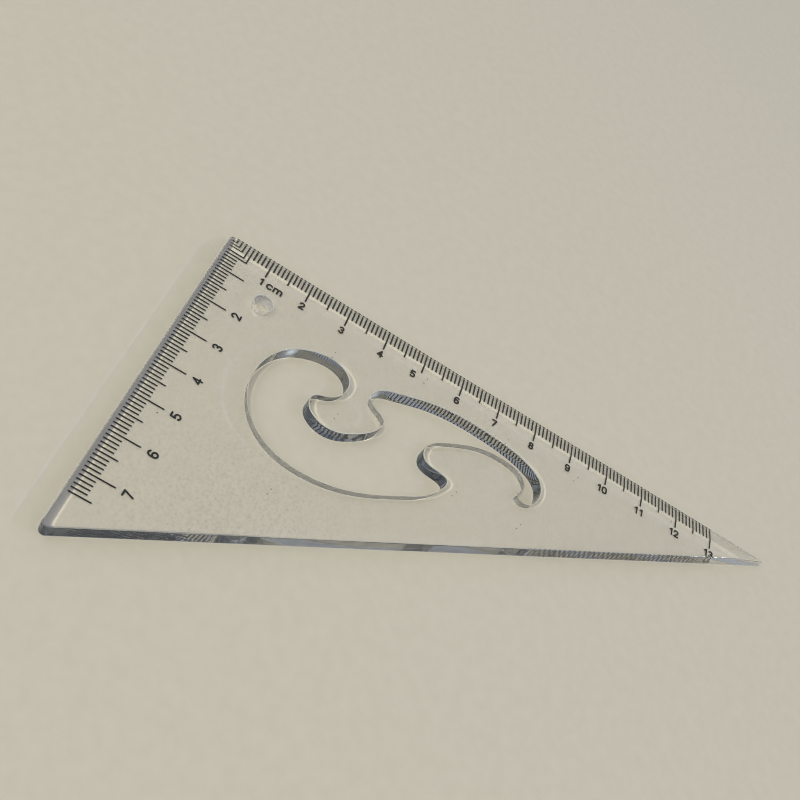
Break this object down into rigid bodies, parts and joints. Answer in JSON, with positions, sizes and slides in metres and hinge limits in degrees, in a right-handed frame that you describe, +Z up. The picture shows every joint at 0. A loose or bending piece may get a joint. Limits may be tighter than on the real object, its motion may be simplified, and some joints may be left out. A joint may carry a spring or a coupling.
{
  "type": "set square",
  "caption": "Clear plastic 30/60/90 set square with a bevelled long edge, centimetre scales on both legs, a French-curve cut-out and a hanging hole.",
  "frame": {"origin": "centre of the plate's bounding box, on the printed underside that rests on the paper", "axes": "+X along the short leg, away from the square corner; +Y along the long leg, away from the square corner; +Z up, from the printed underside to the top"},
  "size_m": [0.084, 0.146, 0.0031],
  "materials": {
    "clear_plastic": "polished clear acrylic-like plastic with a faint warm grey tint",
    "black_ink": "matt black printing ink"
  },
  "bodies": {
    "root": {"plate": "clear_plastic", "long_scale_mm_marks": "black_ink", "long_scale_half_cm_marks": "black_ink", "long_scale_cm_marks": "black_ink", "long_scale_numerals": "black_ink", "short_scale_mm_marks": "black_ink", "short_scale_half_cm_marks": "black_ink", "short_scale_cm_marks": "black_ink", "short_scale_numerals": "black_ink", "corner_chevron_marks": "black_ink", "unit_mark": "black_ink"}
  },
  "joints": []
}
